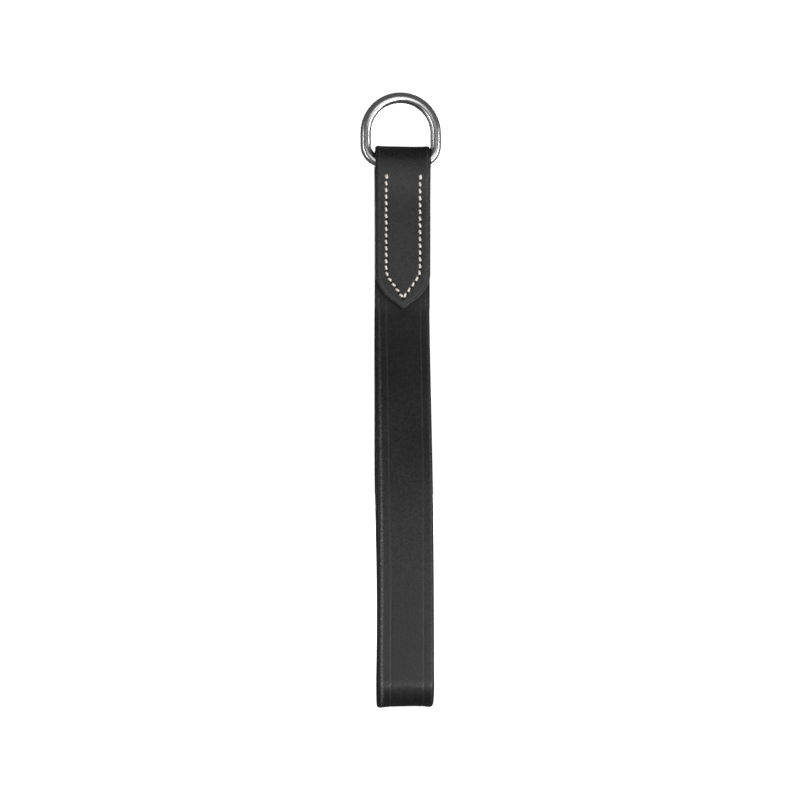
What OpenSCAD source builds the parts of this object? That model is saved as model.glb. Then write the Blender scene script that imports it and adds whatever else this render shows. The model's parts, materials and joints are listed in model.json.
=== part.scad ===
// Girth loop strap: one black leather strip folded over the bar of a D-ring and sewn to itself,
// so that it ends in a long open loop. Millimetres, +Z up along the strap, -Y is the front.
// The origin is the centre of the bend at the loop's foot, and +X runs across the strap.

/* [Strap] */
// Width of the leather strip
strap_w = 25; // [20:0.5:32]
// Thickness of the leather
leather_t = 3.5; // [2.8:0.1:4.5]
// Height of the ring's bar above the centre of the bottom bend
loop_len = 230; // [190:1:300]
// Inside radius of the bottom bend
bend_r = 10.5; // [8:0.5:14]
// Height of the front run's plain stretch above the bottom bend
foot_len = 42; // [20:1:60]

/* [Tab] */
// Length of the pointed tab, from the ring's bar to its tip
tab_len = 66; // [54:1:86]
// Radius of the tab's shoulders, where its sides turn in to the point
shoulder_r = 13; // [8:0.5:17]
// Angle that each shoulder turns through
shoulder_turn = 48; // [40:1:55]
// Length below the bar over which the leather closes on the stack
neck_len = 8.5; // [6:0.5:12]
// Distance from the bar down to the thinned end of the front run inside the stack
tuck_depth = 5; // [4.6:0.1:6]

/* [Ring] */
// Diameter of the ring's wire
wire_d = 5; // [4:0.1:6]
// Gap between the strap's edge and the inside of the ring, on each side
ring_gap = 0.9; // [0.6:0.1:3]
// Centreline radius of the ring's two lower corners
corner_r = 7.8; // [6:0.1:12]
// Straight side of the ring, between a lower corner and the arch
side_len = 5.6; // [2:0.1:12]
// Gap between the ring's bar and the leather that turns over it
turn_gap = 1.25; // [0.8:0.05:2]
// Width of the flare in the leather's edge, which the ring's corners bear on
flare_run = 1.3; // [1.1:0.1:2]

/* [Stitching] */
// Diameter of the waxed thread
thread_d = 0.95; // [0.7:0.05:1.2]
// Distance between holes in the left row
left_pitch = 2.91; // [2.5:0.01:4]
// Distance between holes in the right row
right_pitch = 3.06; // [2.5:0.01:4]
// Distance from the strap's edge to a row of stitches
row_margin = 4.9; // [3.4:0.1:6]
// Distance from the bar down to the first hole of each row
row_top = 6.2; // [6:0.1:12]
// Distance from the tab's tip to the point of the stitching
point_margin = 4.2; // [3.4:0.1:8]
// Radius at which the rows turn in to their point
row_turn_r = 5.5; // [3:0.5:8]
// Angle that each row turns through
row_turn = 36; // [30:1:42]

/* [Hidden] */

// Depths across the stack, from the front: tab, tucked end of the front run, back run
bend_outer_r = bend_r + leather_t;
bar_y = bend_outer_r - 1.5 * leather_t;
tab_mid_y = bar_y - leather_t;
back_mid_y = bar_y + leather_t;
front_mid_y = -bend_r - leather_t / 2;

// The ring's centreline, and how far the inside of its corner has risen at the strap's edge
ring_r = strap_w / 2 + ring_gap + wire_d / 2;
corner_x = ring_r - corner_r;
corner_inner_r = corner_r - wire_d / 2;
edge_run = strap_w / 2 - corner_x;
edge_rise = corner_r - sqrt(corner_inner_r ^ 2 - edge_run ^ 2);

// The leather's turn over the bar, and the flare that clears the ring's corners
turn_r = wire_d / 2 + turn_gap;
flare_gap = 0.35;
flare_r = edge_rise + flare_gap;
flare_past = 0.5;
neck_swell = turn_r - leather_t / 2;
tuck_tip = 1.2;

// Where the tab's sides turn in
point_turn = 90 - shoulder_turn;
point_run = (strap_w / 2 - shoulder_r * (1 - cos(shoulder_turn))) / cos(point_turn);
shoulder_z = tab_len - shoulder_r * sin(shoulder_turn) - point_run * sin(point_turn);

// Where the stitch rows turn in, and how long each row is from its first hole to its point
row_x = strap_w / 2 - row_margin;
row_point = tab_len - point_margin;
row_slope = (row_x - row_turn_r * (1 - cos(row_turn))) / sin(row_turn);
row_bend = row_point - row_turn_r * sin(row_turn) - row_slope * cos(row_turn);
row_straight = row_bend - row_top;
row_arc = row_turn_r * row_turn * PI / 180;
row_len = row_straight + row_arc + row_slope;
left_count = round(row_len / left_pitch);
right_count = round(row_len / right_pitch);

// Thread: how far its axis stands off the leather, how far a crown ends short of its holes'
// centres, its doubled leg in each hole and how far that stands up, and its room in the leather
crown_lift = 0.1;
crown_dip = thread_d * 0.3;
leg_r = thread_d * 0.6;
leg_top = thread_d * 0.3;
thread_gap = 0.05;

arc_steps = 12;
bow_steps = 36;

// Half a cosine wave, from 0 to 1, which starts and ends level
function ease(k) = (1 - cos(180 * k)) / 2;

// A point on a sideways sweep from a to b, and the unit normal there
function sweep_at(a, b, k) = [a.x + (b.x - a.x) * ease(k), a.y + (b.y - a.y) * k];
function sweep_run(a, b, k) = [(b.x - a.x) * PI / 2 * sin(180 * k), b.y - a.y];
function sweep_normal(a, b, k) = let (d = sweep_run(a, b, k)) [d.y, -d.x] / norm(d);

// A strip of leather seen from its edge, swept sideways from a to b
module sweep_band(a, b, steps) {
    one_side = [for (i = [0 : steps])
        sweep_at(a, b, i / steps) + sweep_normal(a, b, i / steps) * leather_t / 2];
    other_side = [for (i = [steps : -1 : 0])
        sweep_at(a, b, i / steps) - sweep_normal(a, b, i / steps) * leather_t / 2];
    polygon(concat(one_side, other_side));
}

// A straight upright strip of leather seen from its edge
module straight_band(mid_y, low_z, high_z) {
    translate([mid_y - leather_t / 2, low_z])
        square([leather_t, high_z - low_z]);
}

// Half of a leather turn seen from its edge, above its centre or below it
module half_turn(inner_r, below) {
    outer_r = inner_r + leather_t;
    difference() {
        circle(r = outer_r, $fn = 96);
        circle(r = inner_r, $fn = 96);
        translate([-outer_r, below ? 0 : -outer_r])
            square([2 * outer_r, outer_r]);
    }
}

// Stands a shape drawn in the Y-Z plane up and gives it the strap's width
module across_strap() {
    rotate([90, 0, 90])
        linear_extrude(height = strap_w, center = true)
            children();
}

// The strip from the tucked end of the front run, round the loop's foot and over the bar
module strip_edge() {
    tuck_z = loop_len - neck_len;
    tip_z = loop_len - tab_len;
    half_turn(bend_r, true);
    straight_band(front_mid_y, 0, foot_len);
    sweep_band([bar_y, tip_z], [front_mid_y, foot_len], bow_steps);
    straight_band(bar_y, tip_z, tuck_z);
    polygon([
        [bar_y - leather_t / 2, tuck_z],
        [bar_y + leather_t / 2, tuck_z],
        [bar_y + tuck_tip / 2, loop_len - tuck_depth],
        [bar_y - tuck_tip / 2, loop_len - tuck_depth]
    ]);
    straight_band(back_mid_y, 0, tuck_z);
    for (side = [-1, 1])
        sweep_band(
            [bar_y + side * (turn_r + leather_t / 2), loop_len],
            [bar_y + side * leather_t, tuck_z], arc_steps);
    translate([bar_y, loop_len])
        half_turn(turn_r, false);
}

// One side of the tab's point, from its shoulder to its tip; side is -1 for left
function shoulder_arc(side) = [for (i = [0 : arc_steps])
    let (a = shoulder_turn * i / arc_steps)
    [side * (strap_w / 2 - shoulder_r * (1 - cos(a))), -shoulder_z - shoulder_r * sin(a)]];
function backwards(list) = [for (i = [len(list) - 1 : -1 : 0]) list[i]];

module tab_outline() {
    polygon(concat(
        [[strap_w / 2, -neck_len]],
        shoulder_arc(1),
        [[0, -tab_len]],
        backwards(shoulder_arc(-1)),
        [[-strap_w / 2, -neck_len]]
    ));
}

module tab() {
    translate([0, tab_mid_y + leather_t / 2, loop_len])
        rotate([90, 0, 0])
            linear_extrude(height = leather_t)
                tab_outline();
}

// A hole's place in its row: across the strap and down from the bar, s along the row
function row_at(s) =
    s < row_straight ? [row_x, row_top + s] :
    s < row_straight + row_arc ?
        let (a = (s - row_straight) / row_turn_r * 180 / PI)
        [row_x - row_turn_r * (1 - cos(a)), row_bend + row_turn_r * sin(a)] :
    let (left = row_len - s)
    [left * sin(row_turn), row_point - left * cos(row_turn)];

// How far the outside of the stack swells near the bar, at a depth below it
function swell(depth) = depth < neck_len ? neck_swell * (1 - ease(depth / neck_len)) : 0;

// Holes from the top of the left row, round the point and up to the top of the right row
left_holes = [for (i = [0 : left_count]) let (p = row_at(row_len * i / left_count)) [-p.x, p.y]];
right_holes = [for (i = [right_count - 1 : -1 : 0]) row_at(row_len * i / right_count)];
holes = concat(left_holes, right_holes);

// The axis of the thread where it crosses the face at a hole; face is -1 for the front
function crown_at(hole, face) = [
    hole.x,
    bar_y + face * (1.5 * leather_t + swell(hole.y) + crown_lift),
    loop_len - hole.y
];

module rod(from, to, r) {
    run = to - from;
    translate(from)
        rotate([0, acos(run.z / norm(run)), atan2(run.y, run.x)])
            cylinder(h = norm(run), r = r, $fn = 24);
}

// The crowns that lie on one face, each ending inside the holes that it joins
module crowns(face, r) {
    for (i = [0 : len(holes) - 2]) {
        from = crown_at(holes[i], face);
        to = crown_at(holes[i + 1], face);
        dip = (to - from) / norm(to - from) * crown_dip;
        rod(from + dip, to - dip, r);
    }
}

// The awl holes, which run from one y to another as seen at each hole
module legs(from_face, to_face, r) {
    for (hole = holes)
        rod(leg_end(hole, from_face), leg_end(hole, to_face), r);
}

// Where a leg ends: just outside a face for -1 and 1, at the stack's middle for 0
function leg_end(hole, face) =
    face == 0 ? [hole.x, bar_y, loop_len - hole.y] :
    crown_at(hole, face) + [0, face * leg_top, 0];

// One thread: its crowns on one face, and a doubled leg from each hole to the stack's middle
module thread_line(face) {
    crowns(face, thread_d / 2);
    legs(face, 0, leg_r);
}

// The leather that the two threads take up
module thread_room() {
    crowns(-1, thread_d / 2 + thread_gap);
    crowns(1, thread_d / 2 + thread_gap);
    legs(-1, 1, leg_r + thread_gap);
}

// The room that the ring's corners sweep at both edges of the strap as the ring swings
module corner_room() {
    widen = (flare_r - turn_r) / flare_run;
    for (side = [0, 1])
        mirror([side, 0, 0])
            translate([strap_w / 2 - flare_run, bar_y, loop_len])
                rotate([0, 90, 0])
                    cylinder(
                        h = flare_run + flare_past, r1 = turn_r,
                        r2 = flare_r + widen * flare_past, $fn = 96);
}

module strap() {
    color("#2c2c2e")
        difference() {
            union() {
                across_strap()
                    strip_edge();
                tab();
            }
            thread_room();
            corner_room();
        }
}

// A bent length of the ring's wire; it starts on the +X side of its centre
module wire_bend(r, turn) {
    rotate([90, 0, 0])
        rotate_extrude(angle = turn, $fn = 96)
            translate([r, 0])
                circle(d = wire_d, $fn = 48);
}

module wire_straight(from, to) {
    rod(from, to, wire_d / 2);
}

module d_ring() {
    color("#b9bbbe")
        translate([0, bar_y, loop_len]) {
            wire_straight([-corner_x, 0, 0], [corner_x, 0, 0]);
            for (side = [0, 1])
                mirror([side, 0, 0]) {
                    translate([corner_x, 0, corner_r])
                        rotate([0, 90, 0])
                            wire_bend(corner_r, 90);
                    wire_straight([ring_r, 0, corner_r], [ring_r, 0, corner_r + side_len]);
                }
            translate([0, 0, corner_r + side_len])
                wire_bend(ring_r, 180);
        }
}

module front_thread() {
    color("#dcd2c6")
        thread_line(-1);
}

module back_thread() {
    color("#dcd2c6")
        thread_line(1);
}

strap();
d_ring();
front_thread();
back_thread();
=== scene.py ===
import bisect
import json
import math

import bmesh
import bpy
from mathutils import Matrix, Vector, noise


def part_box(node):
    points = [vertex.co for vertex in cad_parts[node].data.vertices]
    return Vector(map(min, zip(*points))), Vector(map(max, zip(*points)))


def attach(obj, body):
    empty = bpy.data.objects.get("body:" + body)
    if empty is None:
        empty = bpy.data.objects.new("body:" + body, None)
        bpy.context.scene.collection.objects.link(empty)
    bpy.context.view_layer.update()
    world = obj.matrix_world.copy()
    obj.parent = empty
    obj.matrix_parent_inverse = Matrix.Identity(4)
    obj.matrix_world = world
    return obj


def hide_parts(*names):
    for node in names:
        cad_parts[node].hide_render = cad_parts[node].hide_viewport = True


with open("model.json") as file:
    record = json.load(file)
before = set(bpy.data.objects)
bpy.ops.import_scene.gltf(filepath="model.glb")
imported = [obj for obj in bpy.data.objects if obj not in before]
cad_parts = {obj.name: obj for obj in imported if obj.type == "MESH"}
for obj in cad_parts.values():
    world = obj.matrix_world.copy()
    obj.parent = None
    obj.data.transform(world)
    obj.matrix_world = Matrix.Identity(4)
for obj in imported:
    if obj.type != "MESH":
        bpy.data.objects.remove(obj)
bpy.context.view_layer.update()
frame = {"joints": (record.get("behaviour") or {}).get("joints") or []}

# The strap stands along Z, its front faces -Y. Shapes are worked out in millimetres.
mm = 0.001
hinge = frame["joints"][0]["pos_m"]
barY = hinge[1] / mm
barZ = hinge[2] / mm
strapLow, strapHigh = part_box("strap")
footZ = strapLow.z / mm
halfWidth = strapHigh.x / mm


def ease(k):
    return (1 - math.cos(math.pi * k)) / 2


def clamp(v, low=0.0, high=1.0):
    return max(low, min(high, v))


def soften(k):
    # like ease, but its ends are flatter
    return k ** 3 * (k * (6 * k - 15) + 10)


def bump(d, reach):
    # 1 at the middle, 0 from reach outwards
    return ease(1 - clamp(abs(d) / reach))


def makeObject(name, bm, body, material, nodeName):
    mesh = bpy.data.meshes.new(name)
    bm.to_mesh(mesh)
    bm.free()
    for face in mesh.polygons:
        face.use_smooth = True
    obj = bpy.data.objects.new(name, mesh)
    bpy.context.scene.collection.objects.link(obj)
    mesh.materials.append(material)
    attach(obj, body)
    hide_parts(nodeName)
    print(name, len(mesh.polygons), "faces")


class Nodes:
    # a material and a few short ways to add nodes to it
    def __init__(self, name):
        self.material = bpy.data.materials.new(name)
        self.material.use_nodes = True
        self.tree = self.material.node_tree
        self.shader = self.tree.nodes["Principled BSDF"]

    def add(self, kind, settings=None, **sockets):
        node = self.tree.nodes.new("ShaderNode" + kind)
        for key, value in (settings or {}).items():
            setattr(node, key, value)
        for key, value in sockets.items():
            # i0, i1 and so on are sockets by number, the rest go by name
            byNumber = key[0] == "i" and key[1:].isdigit()
            self.feed(node.inputs[int(key[1:]) if byNumber else key], value)
        return node

    def feed(self, socket, value):
        if isinstance(value, bpy.types.NodeSocket):
            self.tree.links.new(value, socket)
        else:
            socket.default_value = value

    def math(self, operation, a, b=0.0, clampIt=False):
        node = self.add("Math", {"operation": operation, "use_clamp": clampIt}, i0=a, i1=b)
        return node.outputs[0]

    def mix(self, factor, a, b):
        node = self.add("Mix", {"data_type": "RGBA"})
        self.feed(node.inputs[0], factor)
        self.feed(node.inputs[6], a)
        self.feed(node.inputs[7], b)
        return node.outputs[2]

    def ramp(self, value, low, high, lowTo=0.0, highTo=1.0):
        node = self.add("MapRange", {}, i0=value, i1=low, i2=high, i3=lowTo, i4=highTo)
        return node.outputs[0]

    def noise(self, vector, scale, detail=3.0, roughness=0.5):
        node = self.add("TexNoise", {}, Vector=vector, Scale=scale, Detail=detail, Roughness=roughness)
        return node.outputs[0]

    def attribute(self, name):
        return self.add("Attribute", {"attribute_name": name}).outputs["Fac"]

    def bump(self, height, distance, strength=1.0, normal=None):
        node = self.add("Bump", {}, Height=height, Distance=distance, Strength=strength)
        if normal is not None:
            self.feed(node.inputs["Normal"], normal)
        return node.outputs[0]


leatherLook = {
    "dark": (0.0048, 0.0048, 0.0049, 1),
    "light": (0.0255, 0.0255, 0.0258, 1),
    # pale grey painted on rubbed edges and as painted highlights
    "wearAndPaintedLight": (0.17, 0.17, 0.173, 1),
    "flesh": (0.022, 0.0208, 0.020, 1),
    # near black, painted shade in the stitch holes and painted shadows
    "paintedShade": (0.002, 0.002, 0.002, 1),
    "cloudScale": 70.0, "cloudDepth": 0.00025,      # uneven dye, and the swell of the hide
    "speckScale": 1500.0,
    "grainScale": 1700.0, "grainDepth": 0.00026,
    "poreScale": 2600.0, "poreDepth": 0.00002,
    "fuzzScale": 420.0, "fuzzDepth": 0.00025,       # the flesh side
    "streak": (9.0, 0.5, 1.0), "streakScale": 6.0,  # along the strip
    "roughLow": 0.47, "roughHigh": 0.54, "streakRough": 0.03,
    "polish": 0.08, "dry": 0.3,
    "specular": 0.17, "wax": 0.27, "waxRough": 0.29,
}


def leatherMaterial():
    look = leatherLook
    n = Nodes("blackBridleLeather")
    place = n.add("TexCoord").outputs["Object"]
    along = n.add("UVMap", {"uv_map": "leatherMap"}).outputs[0]
    flesh, wearAndHighlight = n.attribute("flesh"), n.attribute("wearAndHighlight")
    edge, crease = n.attribute("edge"), n.attribute("crease")
    paintedShade, paintedLightAndShade = n.attribute("paintedShade"), n.attribute("paintedLightAndShade")

    cloud = n.noise(place, look["cloudScale"], 4.0, 0.55)
    fine = n.noise(place, look["speckScale"], 2.0, 0.6)
    fuzz = n.noise(place, look["fuzzScale"], 5.0, 0.7)
    grain = n.noise(place, look["grainScale"], 3.0, 0.6)
    stretched = n.add("Mapping", {}, Vector=along, Scale=look["streak"]).outputs[0]
    streak = n.noise(stretched, look["streakScale"], 3.0, 0.6)
    pores = n.add("TexVoronoi", {"feature": "F1"}, Vector=place, Scale=look["poreScale"]).outputs[0]
    speck = n.ramp(fine, 0.42, 0.66)

    # dye takes unevenly; over that, painted light and shade: the tab and the front run are painted paler as
    # if lit, the bends and the run under the tab's tip darker as shade
    pale = n.math("ADD", n.math("MULTIPLY", paintedLightAndShade, 0.75), n.ramp(cloud, 0.35, 0.65, -0.1, 0.15))
    pale = n.math("ADD", pale, n.ramp(fine, 0.35, 0.65, -0.4, 0.4), True)
    tone = n.mix(pale, look["dark"], look["light"])
    # painted highlights: lighter lines along the edges, partly rubbed and speckled, and the creases painted
    # a little lighter
    wearAndPaintedLight = n.math("MULTIPLY", wearAndHighlight, n.math("ADD", n.math("MULTIPLY", speck, 0.6), 0.2))
    wearAndPaintedLight = n.math("ADD", wearAndPaintedLight, n.math("MULTIPLY", crease, 0.13), True)
    tone = n.mix(wearAndPaintedLight, tone, look["wearAndPaintedLight"])
    suede = n.mix(n.ramp(fuzz, 0.3, 0.7), look["light"], look["flesh"])
    tone = n.mix(flesh, tone, suede)
    # painted shade: stitch holes near black, and a painted shadow beside the tab's edge and under the foot
    tone = n.mix(paintedShade, tone, look["paintedShade"])
    n.feed(n.shader.inputs["Base Color"], tone)

    # waxed face, duller edges, polished creases, dry flesh side and stitch holes
    rough = n.ramp(cloud, 0.3, 0.7, look["roughLow"], look["roughHigh"])
    rough = n.math("ADD", rough, n.ramp(streak, 0.35, 0.65, -look["streakRough"], look["streakRough"]))
    rough = n.math("ADD", rough, n.math("MULTIPLY", edge, look["polish"]))
    rough = n.math("SUBTRACT", rough, n.math("MULTIPLY", crease, look["polish"]))
    rough = n.math("ADD", rough, n.math("MULTIPLY", flesh, look["dry"]))
    rough = n.math("ADD", rough, n.math("MULTIPLY", paintedShade, look["dry"]), True)
    n.feed(n.shader.inputs["Roughness"], rough)
    n.shader.inputs["Specular IOR Level"].default_value = look["specular"]
    n.shader.inputs["Coat Weight"].default_value = look["wax"]
    n.shader.inputs["Coat Roughness"].default_value = look["waxRough"]

    # the edges are burnished, so the grain is faint there
    grained = n.math("SUBTRACT", 1.0, n.math("MULTIPLY", edge, 0.6))
    height = n.bump(cloud, look["cloudDepth"], 0.35)
    height = n.bump(n.math("MULTIPLY", grain, grained), look["grainDepth"], 0.8, height)
    height = n.bump(n.math("MULTIPLY", pores, grained), look["poreDepth"], 0.7, height)
    height = n.bump(n.math("MULTIPLY", fuzz, flesh), look["fuzzDepth"], 0.9, height)
    n.feed(n.shader.inputs["Normal"], height)
    return n.material


threadLook = {
    "clean": (0.93, 0.88, 0.825, 1),
    "waxed": (0.76, 0.70, 0.635, 1),
    "threadShade": (0.16, 0.135, 0.12, 1),      # painted shade where the thread goes down into its holes and between the plies
    "patchScale": 240.0,
    "fibre": (14.0, 3.0, 1.0), "fibreScale": 9.0, "fibreDepth": 0.00006,
    "roughLow": 0.5, "roughHigh": 0.72, "sheen": 0.15,
}


def threadMaterial():
    look = threadLook
    n = Nodes("waxedLinenThread")
    place = n.add("TexCoord").outputs["Object"]
    along = n.add("UVMap", {"uv_map": "threadMap"}).outputs[0]
    ply, root = n.attribute("ply"), n.attribute("root")
    patch = n.noise(place, look["patchScale"], 2.0, 0.5)
    stretched = n.add("Mapping", {}, Vector=along, Scale=look["fibre"]).outputs[0]
    fibre = n.noise(stretched, look["fibreScale"], 3.0, 0.6)
    tone = n.mix(n.ramp(patch, 0.35, 0.7), look["clean"], look["waxed"])
    # painted shade between the plies, and below where the thread sinks into its hole
    tone = n.mix(n.math("MULTIPLY", n.ramp(ply, 0.0, 0.5, 1.0, 0.0), 0.45), tone, look["threadShade"])
    tone = n.mix(root, tone, look["threadShade"])
    n.feed(n.shader.inputs["Base Color"], tone)
    n.feed(n.shader.inputs["Roughness"], n.ramp(fibre, 0.3, 0.7, look["roughLow"], look["roughHigh"]))
    n.shader.inputs["Sheen Weight"].default_value = look["sheen"]
    n.feed(n.shader.inputs["Normal"], n.bump(fibre, look["fibreDepth"], 0.8))
    return n.material


steelLook = {
    "tint": (0.60, 0.60, 0.605, 1),
    "dull": (0.52, 0.52, 0.525, 1),
    "roughLow": 0.2, "roughHigh": 0.28,
    "cloudScale": 160.0, "cloudDepth": 0.00005,
    "marks": (0.25, 12.0, 1.0), "markScale": 7.0, "markDepth": 0.000002,     # drawn along the wire
}


def steelMaterial():
    look = steelLook
    n = Nodes("polishedSteelWire")
    place = n.add("TexCoord").outputs["Object"]
    along = n.add("UVMap", {"uv_map": "wireMap"}).outputs[0]
    stretched = n.add("Mapping", {}, Vector=along, Scale=look["marks"]).outputs[0]
    marks = n.noise(stretched, look["markScale"], 4.0, 0.65)
    cloud = n.noise(place, look["cloudScale"], 3.0, 0.55)
    n.feed(n.shader.inputs["Base Color"], n.mix(n.ramp(cloud, 0.38, 0.68), look["tint"], look["dull"]))
    n.shader.inputs["Metallic"].default_value = 1.0
    rough = n.math("ADD", n.ramp(cloud, 0.35, 0.7, look["roughLow"], look["roughHigh"]),
                   n.ramp(marks, 0.35, 0.65, -0.03, 0.05))
    n.feed(n.shader.inputs["Roughness"], rough)
    height = n.bump(cloud, look["cloudDepth"], 0.1)
    n.feed(n.shader.inputs["Normal"], n.bump(marks, look["markDepth"], 0.6, height))
    return n.material


leatherBlack = leatherMaterial()
threadPale = threadMaterial()
steelWire = steelMaterial()
print("materials made")


# one strip, cut flat and then folded
strap = {
    "layer": 3.5,                 # what each layer takes up in the stack
    "thickness": 3.46,            # a hair less, so that glued faces stay apart
    "turnRadius": 5.5,            # how high the middle of the leather rises over the bar
    "turnHalf": 5.05,             # half of its spread there
    "footStraight": 42.0,         # the front run is upright this far above the foot
    "lean": 0.4,                  # how much it leans where it comes up under the tab
    "tabLength": 66.7, "tipBlunt": 0.7,
    "shoulderRadius": 15.5, "shoulderTurn": math.radians(56),
    "neck": 20.0,                 # where the layers part below the bar
    "tuckDepth": 5.0, "tuckThin": 1.2, "tuckTaper": 3.5,
    "roundEdge": 1.66, "pointEdge": 0.9, "gluedEdge": 0.3,
    "sewnBack": 60.0,             # the tucked end is glued this far down the back run
    "rimColumns": 6, "faceColumns": 25, "fleshRim": 4, "fleshColumns": 8,
    "air": 0.28,                  # between the leather and the ring's corners
    "footFlare": 0.65, "footFlareReach": 24.0,
    "turnFlare": 0.5, "turnFlareReach": 12.0,
    "creaseLeft": (6.4, 7.2), "creaseRight": (7.7, 8.4),      # from the middle, at the foot and at the tab
    "creaseDeep": 0.14, "creaseWide": 0.4,
    "wander": 0.12, "wanderRun": 45.0, "ripple": 0.05,
    "shift": 0.6,                 # the strap lies this far to one side on the bar
    "drift": 1.1, "driftReach": 75.0, "driftAt": 25.0,        # the back run bows that way above the foot
}
# how many steps each stretch of the folded strip is cut into
foldSteps = {
    "tab": 60, "neck": 40, "turn": 60, "back": 120,
    "foot": 90, "upright": 40, "lean": 120, "tuck": 60,
}
# rows across the strip, by the gap between them
rowGaps = {
    "tip": 0.22, "sewn": 0.5, "turn": 0.6, "back": 1.3,
    "foot": 0.8, "run": 1.15, "hidden": 3.0, "tuck": 0.75,
}
wearAndPaintedLight = {
    "bandAt": 2.1, "bandWide": 0.85,          # band by the run's left edge: rubbed, and a painted highlight on the edge's shoulder
    "crestAt": 1.3, "crest": 0.3,             # fine painted highlight line by its right edge
    "lineAt": 1.8, "line": 0.35, "lineWide": 0.45,            # and painted highlight lines by the other edges
    "bandTop": 0.35, "bandRun": 90.0,
    # painted light and shade along the strip: how much paler or darker each stretch is painted
    "backPale": 0.5, "backRun": 60.0,
    "runPale": 0.5, "runDark": 0.05, "paleAt": 95.0, "paleReach": 75.0, "tipShade": 55.0,
    "bendDark": 0.9, "turnReach": 15.0, "footReach": 19.0,
    # painted shade under the foot and painted shadow beside the tab
    "footShade": 0.9, "tabShadow": 0.8, "shadowReach": 5.0,
}
stitching = {
    "rowX": halfWidth - 4.9, "rowTop": 6.2, "rowPoint": 61.8,
    "turnRadius": 5.5, "turn": math.radians(36),
    "leftPitch": 2.91, "rightPitch": 3.06,
    "slant": 0.26, "wide": 0.55, "tall": 0.5, "end": 0.3, "sink": 1.1, "proud": 0.22, "gap": 0.42,
    "plies": 3, "twist": 2.6, "plyDeep": 0.16, "uneven": 0.35,
    "rings": 12, "around": 12,
    "pitRadius": 0.78, "pitDeep": 0.95, "grooveWide": 1.1, "grooveDeep": 0.16,
    "pullWide": 4.0, "pullDeep": 0.22,        # the first stitch of a row pulls the leather in
}
ring = {
    "wire": 2.5, "cornerX": 8.1, "cornerRadius": 7.8, "side": 5.6,
    "around": 36, "barSteps": 10, "cornerSteps": 20, "sideSteps": 5, "archSteps": 40,
    "weld": 0.18, "weldReach": 1.2,
}

frontLayerY = barY - strap["layer"]
backLayerY = barY + strap["layer"]
footRadius = -footZ - strap["layer"] / 2
frontRunY = -footRadius
tabTipZ = barZ - strap["tabLength"]
neckZ = barZ - strap["neck"]


def straightRun(a, b, steps):
    return [Vector(a).lerp(Vector(b), i / steps) for i in range(steps + 1)]


def loopRun(a, b, steps):
    # eases away from the foot, and comes up under the tab at a lean
    run = []
    for i in range(steps + 1):
        k = i / steps
        back = (1 - strap["lean"]) * ease(k) + strap["lean"] * (1 - math.cos(math.pi / 2 * k))
        run.append(Vector((a[0] + (b[0] - a[0]) * back, a[1] + (b[1] - a[1]) * k)))
    return run


def neckRun(a, b, steps):
    run = [i / steps for i in range(steps + 1)]
    return [Vector((a[0] + (b[0] - a[0]) * soften(k), a[1] + (b[1] - a[1]) * k)) for k in run]


def roundRun(centre, spread, rise, start, end, steps):
    turns = [start + (end - start) * i / steps for i in range(steps + 1)]
    return [Vector((centre[0] + spread * math.cos(a), centre[1] + rise * math.sin(a))) for a in turns]


def foldLine():
    # the middle of the leather seen from its edge, from the tab's tip round to the tucked end
    turn, spread = strap["turnRadius"], strap["turnHalf"]
    uprightZ = strap["footStraight"]
    n = foldSteps
    stretches = [
        straightRun((frontLayerY, tabTipZ), (frontLayerY, neckZ), n["tab"]),
        neckRun((frontLayerY, neckZ), (barY - spread, barZ), n["neck"]),
        roundRun((barY, barZ), spread, turn, math.pi, 0, n["turn"]),
        neckRun((barY + spread, barZ), (backLayerY, neckZ), n["neck"]),
        straightRun((backLayerY, neckZ), (backLayerY, 0), n["back"]),
        roundRun((0, 0), footRadius, footRadius, 0, -math.pi, n["foot"]),
        straightRun((frontRunY, 0), (frontRunY, uprightZ), n["upright"]),
        loopRun((frontRunY, uprightZ), (barY, tabTipZ), n["lean"]),
        straightRun((barY, tabTipZ), (barY, barZ - strap["tuckDepth"]), n["tuck"]),
    ]
    points = [stretches[0][0]]
    ends = []
    for stretch in stretches:
        points += stretch[1:]
        ends.append(len(points) - 1)
    lengths = [0.0]
    for a, b in zip(points, points[1:]):
        lengths.append(lengths[-1] + (b - a).length)
    return points, lengths, [lengths[e] for e in ends]


foldPoints, foldLengths, stretchEnds = foldLine()
# places along the strip, measured from the tab's tip
neckStart, turnStart, turnEnd, neckEnd, footStart, footEnd = stretchEnds[:6]
tuckStart, stripEnd = stretchEnds[7:]
turnMiddle = (turnStart + turnEnd) / 2
footMiddle = (footStart + footEnd) / 2
print("strip is", round(stripEnd), "mm long")


def pointOnFold(s):
    i = clamp(bisect.bisect_right(foldLengths, s) - 1, 0, len(foldPoints) - 2)
    k = (s - foldLengths[i]) / (foldLengths[i + 1] - foldLengths[i])
    return foldPoints[i].lerp(foldPoints[i + 1], k)


def frameOnFold(s, reach=0.4):
    here = pointOnFold(s)
    run = (pointOnFold(s + reach) - pointOnFold(s - reach)).normalized()
    return here, Vector((-run.y, run.x))    # the grain side


def tabHalfWidth(s):
    # half the width and the slope of the outline, s from the tab's tip
    turn, radius = strap["shoulderTurn"], strap["shoulderRadius"]
    pointRun = (halfWidth - radius * (1 - math.cos(turn))) / math.sin(turn)
    slopeEnd = pointRun * math.cos(turn)
    arcEnd = slopeEnd + radius * math.sin(turn)
    if s < slopeEnd:
        blunt = strap["tipBlunt"]
        grow = pointRun * math.sin(turn) / math.sqrt(slopeEnd * (slopeEnd + blunt))
        return grow * math.sqrt(s * (s + blunt)), turn
    if s < arcEnd:
        a = math.asin((arcEnd - s) / radius)
        return halfWidth - radius * (1 - math.cos(a)), a
    return halfWidth, 0.0


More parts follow.
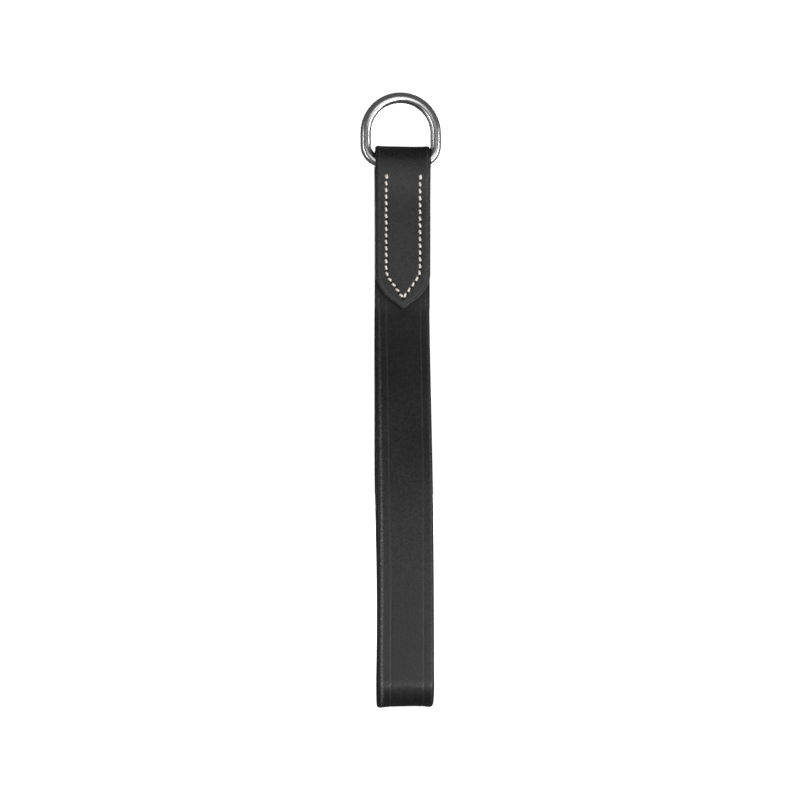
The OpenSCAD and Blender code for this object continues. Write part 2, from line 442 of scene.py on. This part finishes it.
def stripRows():
    # rows across the strip, close together where it is stitched or bent
    gaps = rowGaps
    seamEnd = neckEnd + 58
    plan = [
        (0.06, 2.0, gaps["tip"]),
        (2.0, neckStart + 9, gaps["sewn"]),
        (neckStart + 9, neckEnd - 9, gaps["turn"]),
        (neckEnd - 9, seamEnd, gaps["sewn"]),
        (seamEnd, footStart - 4, gaps["back"]),
        (footStart - 4, footEnd + 4, gaps["foot"]),
        (footEnd + 4, tuckStart - 2, gaps["run"]),
        (tuckStart - 2, stripEnd - 4.5, gaps["hidden"]),
        (stripEnd - 4.5, stripEnd, gaps["tuck"]),
    ]
    rows = [plan[0][0]]
    for start, end, gap in plan:
        count = max(1, round((end - start) / gap))
        rows += [start + (end - start) * (i + 1) / count for i in range(count)]
    return rows


rowPlaces = stripRows()


def rowAt(s):
    # a stitch hole: across the strap and down from the bar, s along the row
    t = stitching
    slope = (t["rowX"] - t["turnRadius"] * (1 - math.cos(t["turn"]))) / math.sin(t["turn"])
    bend = t["rowPoint"] - t["turnRadius"] * math.sin(t["turn"]) - slope * math.cos(t["turn"])
    straight, arc = bend - t["rowTop"], t["turnRadius"] * t["turn"]
    total = straight + arc + slope
    if s is None:
        return total
    if s < straight:
        return t["rowX"], t["rowTop"] + s
    if s < straight + arc:
        a = (s - straight) / t["turnRadius"]
        return t["rowX"] - t["turnRadius"] * (1 - math.cos(a)), bend + t["turnRadius"] * math.sin(a)
    left = total - s
    return left * math.sin(t["turn"]), t["rowPoint"] - left * math.cos(t["turn"])


def stitchHoles():
    total = rowAt(None)
    lefts, rights = round(total / stitching["leftPitch"]), round(total / stitching["rightPitch"])
    left = [rowAt(total * i / lefts) for i in range(lefts + 1)]
    right = [rowAt(total * i / rights) for i in range(rights - 1, -1, -1)]
    return [Vector((-x, barZ - z)) for x, z in left] + [Vector((x, barZ - z)) for x, z in right]


holes = stitchHoles()


def stitchesNear(z):
    return [(a, b) for a, b in zip(holes, holes[1:]) if abs((a.y + b.y) / 2 - z) < 3.5]


def stitchDent(x, z, near):
    # how deep the leather is pressed in by the seam, and how much of that is awl hole
    deep, hole = 0.0, 0.0
    here = Vector((x, z))
    for a, b in near:
        k = clamp((here - a).dot(b - a) / (b - a).length_squared)
        gap = (here - a.lerp(b, k)).length
        deep = max(deep, stitching["grooveDeep"] * bump(gap, stitching["grooveWide"]))
        hole = max(hole, bump((here - a).length, stitching["pitRadius"]),
                   bump((here - b).length, stitching["pitRadius"]))
    # the first stitch of each row pulls the leather in
    for first in (holes[0], holes[-1]):
        deep += stitching["pullDeep"] * bump((here - first).length, stitching["pullWide"])
    return deep, hole


def sectionPlan():
    # one entry for each column round the leather: which side it is on, and how far across, from -1 to 1
    face = strap["rimColumns"] + strap["faceColumns"]
    under = strap["fleshRim"] + strap["fleshColumns"]
    grainSide = [(1, i / face - 1) for i in range(2 * face + 1)]
    fleshSide = [(-1, 1 - i / under) for i in range(2 * under + 1)]
    return grainSide + [(0, 1)] + fleshSide + [(0, -1)]


section = sectionPlan()


def flatSheet():
    # a sheet with one column for each place round the leather's section, and one row for each place along it
    bm = bmesh.new()
    bmesh.ops.create_grid(bm, x_segments=len(section), y_segments=len(rowPlaces) - 1, size=1.0)
    layer = bm.verts.layers.int.new("column")
    spot = {}
    for v in bm.verts:
        column = round((v.co.x + 1) / 2 * len(section))
        v[layer] = column
        spot[v.index] = column % len(section), round((v.co.y + 1) / 2 * (len(rowPlaces) - 1))
    return bm, layer, spot


def fromHere(s, start, run=6.0):
    # 0 before start, 1 once past it by the run
    return ease(clamp((s - start) / run))


def edgeRounding(s, side):
    # polished round where the edge is free, nearly square where layers are glued
    free, glued = strap["roundEdge"], strap["gluedEdge"]
    tuck = fromHere(s, tuckStart - 3)
    if side > 0:      # grain side: glued only where the tucked end lies under the tab
        point = 1 - fromHere(s, 12, 7)
        return free + (glued - free) * tuck + (strap["pointEdge"] - free) * point
    tab = 1 - fromHere(s, neckStart - 1)
    back = fromHere(s, neckEnd - 3) * (1 - fromHere(s, neckEnd + strap["sewnBack"] - 6))
    return free + (glued - free) * max(tab, back, tuck)


def wireRoom(x):
    # how far from the bar's axis the inside of the ring's corner has risen at x, and a little air
    inner = ring["cornerRadius"] - ring["wire"]
    run = clamp(x - ring["cornerX"], 0, inner - 0.02)
    return ring["cornerRadius"] - math.sqrt(inner ** 2 - run ** 2) + strap["air"]


def columnAt(side, acrossIt, reach, lean, rounding):
    # place across the strip, round edge first and then even columns, and how far in from the edge that is
    rim = strap["rimColumns"] if side >= 0 else strap["fleshRim"]
    inner = strap["faceColumns"] if side >= 0 else strap["fleshColumns"]
    fromRim = (1 - abs(acrossIt)) * (rim + inner)
    rimWide = min(rounding * lean, reach * 0.8)
    if fromRim <= rim:
        x = reach - rimWide * (1 - math.cos(math.pi / 2 * fromRim / rim))
    else:
        x = (reach - rimWide) * (1 - (fromRim - rim) / inner)
    return x, (reach - x) / lean


def localThickness(s):
    # the tucked end is skived thin
    taper = clamp((stripEnd - s) / strap["tuckTaper"])
    thin = strap["tuckThin"]
    return strap["thickness"] if s < tuckStart else thin + (strap["thickness"] - thin) * taper


def creaseAt(s, x, z):
    # a line near each edge, run with a hot iron on the plain part
    if not neckEnd + 55 < s < tuckStart + 4:
        return 0.0
    low, high = strap["creaseLeft"] if x < 0 else strap["creaseRight"]
    return bump(abs(x) - low - (high - low) * clamp(z / tabTipZ), strap["creaseWide"])


def bendFlare(s, x):
    # leather rises at its edges where it is bent hard
    out = abs(x) / halfWidth
    foot = ease(1 - min(abs(s - footMiddle) / strap["footFlareReach"], 1))
    turn = ease(1 - min(abs(s - turnMiddle) / strap["turnFlareReach"], 1))
    return strap["footFlare"] * out ** 3 * foot + strap["turnFlare"] * out ** 6 * turn


def wearAndHighlightAt(s, x, z, inset):
    # lighter lines: a broad band by the left edge of the run, rubbed and speckled and also a painted
    # highlight on the edge's shoulder; fine painted highlight lines by the other edges
    if not footEnd - 15 < s < tuckStart:
        return wearAndPaintedLight["line"] * bump(inset - wearAndPaintedLight["lineAt"], wearAndPaintedLight["lineWide"])
    if x < 0:
        rub = bump(inset - wearAndPaintedLight["bandAt"], wearAndPaintedLight["bandWide"])
    else:
        rub = wearAndPaintedLight["crest"] * bump(inset - wearAndPaintedLight["crestAt"], wearAndPaintedLight["lineWide"])
    return rub * (wearAndPaintedLight["bandTop"] + (1 - wearAndPaintedLight["bandTop"]) * ease(clamp((tabTipZ - z) / wearAndPaintedLight["bandRun"])))


def paintedLightAndShadeAt(s, z):
    # painted light and shade: the tab is painted palest as if lit, the front run paler round its middle, the
    # back run darker further down from the bar, and the bends and the run under the tab's tip darkest, as
    # shade
    if s < turnEnd:
        paintedLightAndShade = 1.0
    elif s < footEnd:
        paintedLightAndShade = 1 - wearAndPaintedLight["backPale"] * clamp((s - turnEnd) / wearAndPaintedLight["backRun"])
    else:
        pale = wearAndPaintedLight["runDark"] + wearAndPaintedLight["runPale"] * bump(z - wearAndPaintedLight["paleAt"], wearAndPaintedLight["paleReach"])
        paintedLightAndShade = pale * ease(clamp((tabTipZ - z) / wearAndPaintedLight["tipShade"]))
    bent = max(bump(s - turnMiddle, wearAndPaintedLight["turnReach"]), bump(s - footMiddle, wearAndPaintedLight["footReach"]))
    return paintedLightAndShade * (1 - wearAndPaintedLight["bendDark"] * bent)


def paintedShadowAt(s, x, z):
    # painted shade under the foot bend, and a painted shadow on the run beside the tab's edge
    if s <= footStart:
        return 0.0
    if s <= footEnd:
        return wearAndPaintedLight["footShade"] * bump(s - footMiddle, wearAndPaintedLight["footReach"])
    if z > tabTipZ + 0.1:
        gap = abs(x) - tabHalfWidth(z - tabTipZ)[0]
    else:
        gap = math.hypot(x, z - tabTipZ)
    return wearAndPaintedLight["tabShadow"] * bump(gap, wearAndPaintedLight["shadowReach"])


def makeStrap():
    bm, columnLayer, spot = flatSheet()
    uv = bm.loops.layers.uv.new("leatherMap")
    looks = ("flesh", "wearAndHighlight", "edge", "crease", "paintedShade", "paintedLightAndShade")
    layers = {name: bm.verts.layers.float.new(name) for name in looks}
    where = {}
    rows = {}
    for v in bm.verts:
        column, row = spot[v.index]
        side, acrossIt = section[column]
        grain = side > 0
        s = rowPlaces[row]
        if row not in rows:
            here, out = frameOnFold(s)
            roundings = {1: edgeRounding(s, 1), -1: edgeRounding(s, -1)}
            rows[row] = here, out, tabHalfWidth(s), roundings, stitchesNear(here.y)
        here, out, (reach, slope), roundings, near = rows[row]
        sign = math.copysign(1, acrossIt)
        rounding = roundings[1 if side >= 0 else -1]
        x, inset = columnAt(side, acrossIt, reach, 1 / math.cos(slope), rounding)
        x *= sign

        # height above the middle of the leather
        local = localThickness(s)
        rounding = min(rounding, local / 2)
        h = side * (local / 2 - rounding + math.sqrt(max(rounding ** 2 - max(rounding - inset, 0) ** 2, 0)))
        hole = 0.0
        if grain and (s < neckStart + 3 or turnEnd + 6 < s < neckEnd + 62):
            deep, hole = stitchDent(x, here.y, near)
            h -= deep + hole * stitching["pitDeep"]
        crease = creaseAt(s, x, here.y) if grain else 0.0
        h += bendFlare(s, x) - crease * strap["creaseDeep"]

        wobble = strap["wander"] * noise.noise(Vector((s / strap["wanderRun"], sign * 3.0, 0.5)))
        ripple = strap["ripple"] * noise.noise(Vector((x / 9, s / 14, side)))
        y, z = here + out * (h + ripple)

        # the ring's corners sweep this room as it swings
        fromBar = Vector((y - barY, z - barZ))
        room = wireRoom(abs(x + wobble + strap["shift"]))
        if fromBar.length < room:
            y, z = Vector((barY, barZ)) + fromBar.normalized() * room

        where[v.index] = (x / 10, s / 10)
        v[layers["flesh"]] = clamp((inset - 0.8) / 1.5) if side < 0 else 0.0
        v[layers["edge"]] = 1 - clamp((inset - 1.2) / 1.0)
        v[layers["crease"]] = crease
        # lighter edge lines, partly wear and partly painted highlight
        v[layers["wearAndHighlight"]] = wearAndHighlightAt(s, x, z, inset) if grain else 0.0
        # painted light and shade along the strip
        v[layers["paintedLightAndShade"]] = paintedLightAndShadeAt(s, z)
        # painted shade in the stitch holes, under the foot and beside the tab's edge
        v[layers["paintedShade"]] = hole + paintedShadowAt(s, x, z) if grain else 0.0
        drift = strap["drift"] * bump(s - footStart + strap["driftAt"], strap["driftReach"])
        v.co = Vector((x + wobble + strap["shift"] + drift, y, z)) * mm
    for face in bm.faces:
        for loop in face.loops:
            loop[uv].uv = where[loop.vert.index]
    # close the section and its two ends
    seam = [v for v in bm.verts if v[columnLayer] in (0, len(section))]
    bmesh.ops.remove_doubles(bm, verts=seam, dist=0.000001)
    bmesh.ops.holes_fill(bm, edges=bm.edges, sides=0)
    bmesh.ops.recalc_face_normals(bm, faces=bm.faces)
    makeObject("leatherStrap", bm, "strap", leatherBlack, "strap")


makeStrap()


def faceY(side, z):
    # the outside of the sewn stack at height z
    depth = barZ - z
    swell = (strap["turnHalf"] - strap["layer"]) * soften(1 - clamp(depth / strap["neck"]))
    return barY + side * (1.5 * strap["layer"] + swell - stitching["grooveDeep"] * 0.6)


def threadRound(k, turn, fat):
    # how thick the twisted thread is at k along a stitch and turn round it
    t = stitching
    plies = 0.5 + 0.5 * math.cos(t["plies"] * (turn - t["twist"] * k))
    crown = math.sin(math.pi * k) ** 0.55
    swell = 1 - t["plyDeep"] + t["plyDeep"] * plies
    wide = (t["end"] + (t["wide"] * fat - t["end"]) * crown) * swell
    tall = (t["end"] + (t["tall"] * fat - t["end"]) * crown) * swell
    return plies, wide, tall


def addStitch(bm, layers, uv, start, end, side, slant, fat=1.0, lift=0.0):
    t = stitching
    run = end - start
    across = Vector((-run.y, run.x)).normalized()
    inset = run.normalized() * t["gap"]
    a = start - across * slant + inset
    b = end + across * slant - inset
    oldVerts, oldEdges = len(bm.verts), len(bm.edges)
    bmesh.ops.create_circle(bm, cap_ends=False, segments=t["around"], radius=1.0)
    bm.verts.ensure_lookup_table()
    bm.edges.ensure_lookup_table()
    bmesh.ops.spin(bm, geom=bm.verts[oldVerts:] + bm.edges[oldEdges:], cent=(0, 0, 0),
                   axis=(1, 0, 0), dvec=(0, 0, 1), angle=0, steps=t["rings"], use_merge=False)
    bm.verts.ensure_lookup_table()
    bm.verts.index_update()
    fresh = bm.verts[oldVerts:]
    length = (b - a).length
    heading = (b - a).normalized()
    sideways = Vector((-heading.y, heading.x))
    places = {}
    for v in fresh:
        k = v.co.z / t["rings"]
        turn = math.atan2(v.co.y, v.co.x)
        plies, wide, tall = threadRound(k, turn, fat)
        # up through the leather, over, and down again
        alongIt = length * (0.5 - 0.5 * math.cos(math.pi * clamp(k * 1.16 - 0.08)))
        height = -t["sink"] + (t["sink"] + t["proud"] + lift) * math.sin(math.pi * k) ** 0.6
        lean = 0.25 * math.cos(math.pi * k) * math.sin(turn) * tall
        flat = a + heading * (alongIt + lean) + sideways * math.cos(turn) * wide
        out = height + math.sin(turn) * tall
        places[v.index] = (turn / math.tau + 0.5, k)
        v[layers["ply"]] = plies
        v[layers["root"]] = 1 - clamp((out + 0.35) / 0.5)
        v.co = Vector((flat.x + strap["shift"], faceY(side, flat.y) + side * out, flat.y)) * mm
    for face in {f for v in fresh for f in v.link_faces}:
        for corner in face.loops:
            corner[uv].uv = places[corner.vert.index]


def makeStitches(name, side, nodeName):
    bm = bmesh.new()
    uv = bm.loops.layers.uv.new("threadMap")
    layers = {key: bm.verts.layers.float.new(key) for key in ("ply", "root")}
    t = stitching
    for i, (start, end) in enumerate(zip(holes, holes[1:])):
        jitter = noise.noise(Vector((i * 1.7, side * 5.0, 0.3)))
        slant = (t["slant"] if side < 0 else -t["slant"] * 0.5) * (1 + t["uneven"] * jitter)
        addStitch(bm, layers, uv, start, end, side, slant, 1 + 0.1 * jitter)
    if side < 0:      # each row starts and ends on a doubled stitch
        for a, b in ((holes[0], holes[1]), (holes[-2], holes[-1])):
            nudge = Vector((0.35, 0.15))
            addStitch(bm, layers, uv, a + nudge, b + nudge, side, t["slant"] * 0.4, 0.9, 0.12)
    bmesh.ops.recalc_face_normals(bm, faces=bm.faces)
    makeObject(name, bm, "strap", threadPale, nodeName)


makeStitches("frontStitches", -1, "front_thread")
makeStitches("backStitches", 1, "back_thread")


def makeRing():
    r = ring
    archZ = r["cornerRadius"] + r["side"]
    bm = bmesh.new()
    bmesh.ops.create_circle(bm, cap_ends=False, segments=r["around"], radius=r["wire"],
                            matrix=Matrix.Rotation(math.pi / 2, 4, "Y"))
    end = bm.verts[:] + bm.edges[:]

    def carry(steps, **how):
        nonlocal end
        end = bmesh.ops.spin(bm, geom=end, steps=steps, use_merge=False, **how)["geom_last"]

    # half the bar, a lower corner, a straight side and half the arch
    across = (r["cornerX"] / r["barSteps"], 0, 0)
    up = (0, 0, r["side"] / r["sideSteps"])
    corner = (r["cornerX"], 0, r["cornerRadius"])
    quarter = -math.pi / 2
    carry(r["barSteps"], cent=(0, 0, 0), axis=(0, 1, 0), dvec=across, angle=0)
    carry(r["cornerSteps"], cent=corner, axis=(0, 1, 0), dvec=(0, 0, 0), angle=quarter)
    carry(r["sideSteps"], cent=(0, 0, 0), axis=(0, 1, 0), dvec=up, angle=0)
    carry(r["archSteps"], cent=(0, 0, archZ), axis=(0, 1, 0), dvec=(0, 0, 0), angle=quarter)
    bmesh.ops.mirror(bm, geom=bm.verts[:] + bm.edges[:] + bm.faces[:], axis="X", merge_dist=0.001)
    bmesh.ops.remove_doubles(bm, verts=bm.verts, dist=0.001)
    bmesh.ops.recalc_face_normals(bm, faces=bm.faces)
    uv = bm.loops.layers.uv.new("wireMap")
    reach = r["cornerX"] + r["cornerRadius"]
    archStart = 26.0      # along the wire from the bar's middle
    for face in bm.faces:
        for loop in face.loops:
            x, y, z = loop.vert.co
            # how far along the wire from the bar's middle, and how far round it
            if z > archZ:
                a = math.atan2(z - archZ, abs(x))
                along, off = archStart + a * reach, math.hypot(x, z - archZ) - reach
            elif abs(x) > r["cornerX"]:
                a = math.atan2(abs(x) - r["cornerX"], max(r["cornerRadius"] - z, 0.001))
                along = r["cornerX"] + a * r["cornerRadius"] + max(z - r["cornerRadius"], 0)
                off = math.hypot(abs(x) - r["cornerX"], min(z - r["cornerRadius"], 0)) - r["cornerRadius"]
            else:
                along, off = abs(x), -z
            loop[uv].uv = (along / 10, abs(math.atan2(y, off)) * r["wire"] / 10)
    for v in bm.verts:
        # the butt weld, filed nearly flush, under the leather
        if abs(v.co.z) < r["wire"] + 0.1:
            swell = 1 + r["weld"] / r["wire"] * bump(v.co.x, r["weldReach"])
            v.co.y *= swell
            v.co.z *= swell
        v.co = (v.co + Vector((0, barY, barZ))) * mm
    makeObject("wireRing", bm, "ring", steelWire, "d_ring")


makeRing()


studio = {
    "floorRadius": 1.3, "coveRadius": 0.6, "wall": 1.6, "drop": 0.0009,
    "segments": 96, "coveSteps": 10,
    "glow": 0.94, "shade": (0.8, 0.8, 0.8, 1), "surround": 0.13,
}


def makeStage():
    bm = bmesh.new()
    bmesh.ops.create_circle(bm, cap_ends=True, segments=studio["segments"],
                            radius=studio["floorRadius"])
    rim = [e for e in bm.edges if e.is_boundary]
    steps = studio["coveSteps"]
    # the floor curves up into a wall all round
    for i in range(steps + 1):
        grown = bmesh.ops.extrude_edge_only(bm, edges=rim)["geom"]
        rim = [g for g in grown if isinstance(g, bmesh.types.BMEdge)]
        a = math.pi / 2 * min(i + 1, steps) / steps
        out = studio["floorRadius"] + studio["coveRadius"] * math.sin(a)
        rise = studio["coveRadius"] * (1 - math.cos(a)) + (studio["wall"] if i == steps else 0)
        for v in {v for e in rim for v in e.verts}:
            flat = Vector((v.co.x, v.co.y, 0)).normalized() * out
            v.co = (flat.x, flat.y, rise)
    bmesh.ops.translate(bm, verts=bm.verts, vec=(0, 0, footZ * mm - studio["drop"]))
    mesh = bpy.data.meshes.new("studioFloor")
    bmesh.ops.recalc_face_normals(bm, faces=bm.faces)
    bmesh.ops.reverse_faces(bm, faces=bm.faces)
    bm.to_mesh(mesh)
    bm.free()
    for face in mesh.polygons:
        face.use_smooth = True
    floor = bpy.data.objects.new("studioFloor", mesh)
    bpy.context.scene.collection.objects.link(floor)
    n = Nodes("paleFloor")
    n.shader.inputs["Base Color"].default_value = studio["shade"]
    n.shader.inputs["Roughness"].default_value = 0.9
    n.shader.inputs["Emission Color"].default_value = (1, 1, 1, 1)
    n.shader.inputs["Emission Strength"].default_value = studio["glow"]
    mesh.materials.append(n.material)
    # the floor is only a ground to look at: it neither lights nor mirrors in the object
    floor.visible_glossy = False
    floor.visible_diffuse = False
    floor.visible_shadow = False


lamps = {
    "frontSoft": {"at": (0.15, -1.05, -0.03), "size": (0.95, 0.85), "power": 4.1},
    "footStrip": {"at": (0.42, -0.88, -0.49), "size": (0.7, 0.24), "power": 5.6},
    "leftSoft": {"at": (-0.82, -0.5, 0.08), "size": (0.18, 0.8), "power": 2.2},
    "rightSoft": {"at": (0.85, -0.45, 0.02), "size": (0.3, 0.9), "power": 5.2},
    "backSoft": {"at": (0.2, 1.1, 0.3), "size": (1.0, 1.0), "power": 14.0},
}


def makeLamps():
    for name, lamp in lamps.items():
        light = bpy.data.lights.new(name, "AREA")
        light.shape = "RECTANGLE"
        light.size, light.size_y = lamp["size"]
        light.energy = lamp["power"]
        obj = bpy.data.objects.new(name, light)
        obj.location = lamp["at"]
        aim = Vector((0, 0, 0.115)) - obj.location
        obj.rotation_euler = aim.to_track_quat("-Z", "Y").to_euler()
        obj.visible_camera = False
        bpy.context.scene.collection.objects.link(obj)
    world = bpy.data.worlds.new("studioWorld")
    bpy.context.scene.world = world
    world.use_nodes = True
    world.node_tree.nodes["Background"].inputs["Color"].default_value = (1, 1, 1, 1)
    world.node_tree.nodes["Background"].inputs["Strength"].default_value = studio["surround"]


camera = {
    "lens": 52.7, "sensor": 36.0,
    "away": 526.0, "swing": math.radians(-3.8), "aim": (-0.75, 3.5, 122.3),
}


def makeCamera():
    data = bpy.data.cameras.new("camera")
    data.lens = camera["lens"]
    data.sensor_width = camera["sensor"]
    data.clip_start = 0.01
    obj = bpy.data.objects.new("camera", data)
    aim = Vector(camera["aim"])
    turn = camera["swing"]
    obj.location = (aim + Vector((math.sin(turn), -math.cos(turn), 0)) * camera["away"]) * mm
    obj.rotation_euler = (math.pi / 2, 0, turn)
    bpy.context.scene.collection.objects.link(obj)
    bpy.context.scene.camera = obj


makeStage()
makeLamps()
makeCamera()
bpy.context.scene.view_settings.view_transform = "Standard"
print("studio set")
